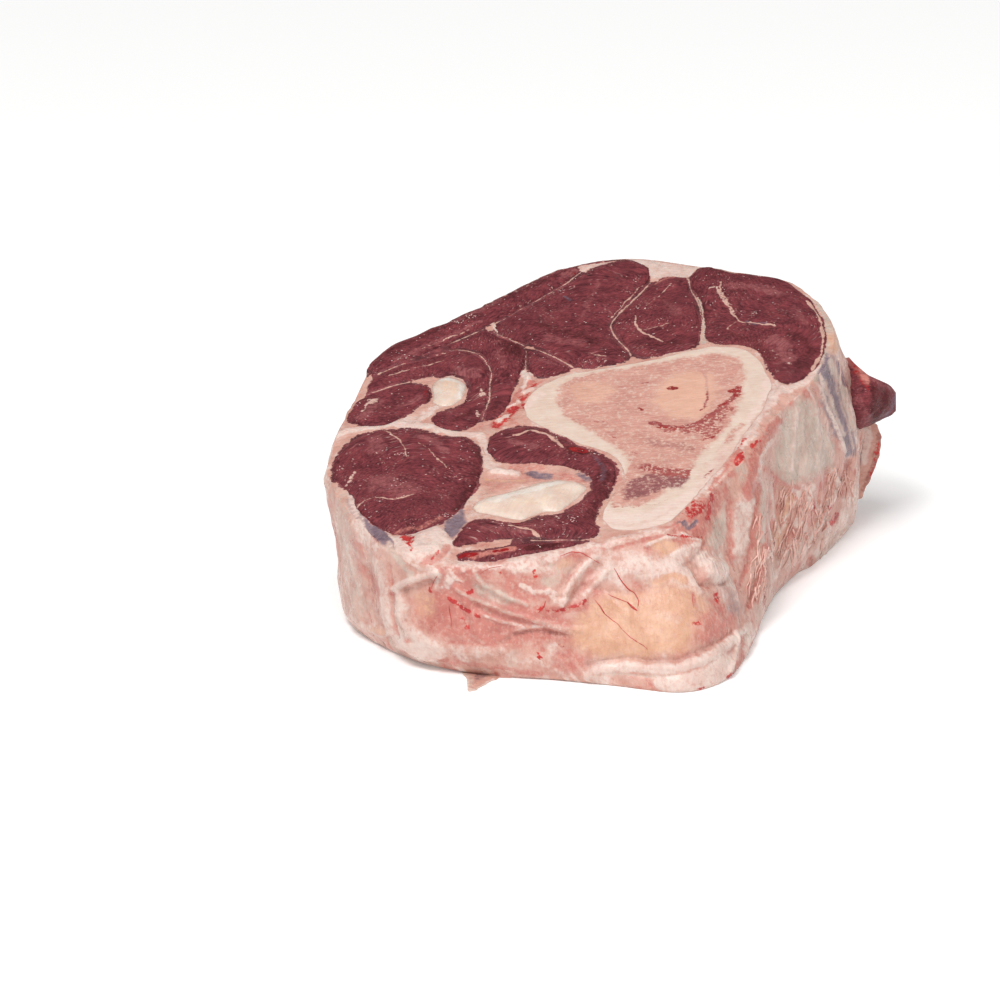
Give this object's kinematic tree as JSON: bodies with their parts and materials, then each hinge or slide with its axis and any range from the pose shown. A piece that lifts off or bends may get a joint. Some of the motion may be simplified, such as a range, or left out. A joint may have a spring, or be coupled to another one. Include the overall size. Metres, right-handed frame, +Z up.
{
  "type": "raw beef shank slice",
  "caption": "Thick raw cross cut of beef shin with its bone in, dark red muscles parted by white seams, and a pale fat and membrane outside.",
  "frame": {"origin": "middle of the plan, on the surface the slice lies on", "axes": "+Z up along the shin, from the lower cut face to the upper one; +Y from the thin front with the fan-shaped tendon to the thick back; +X to the side with the tongue of muscle"},
  "size_m": [0.1874, 0.2156, 0.0843],
  "materials": {
    "muscle": "moist raw lean meat",
    "bone": "sawn wet bone",
    "tendon": "smooth wet tendon",
    "fat": "moist fat and connective tissue"
  },
  "bodies": {
    "root": {"bone": "bone", "fat_jacket": "fat", "muscle_back_large": "muscle", "muscle_back_middle": "muscle", "muscle_back_right": "muscle", "muscle_bone_wedge": "muscle", "muscle_front_strip": "muscle", "muscle_hook": "muscle", "muscle_left_lobe": "muscle", "muscle_left_small": "muscle", "muscle_middle_wedge": "muscle", "muscle_outer_band": "muscle", "muscle_side_tongue": "muscle", "muscle_tendon_wrap": "muscle", "tendon_fan": "tendon", "tendon_round": "tendon"}
  },
  "joints": []
}
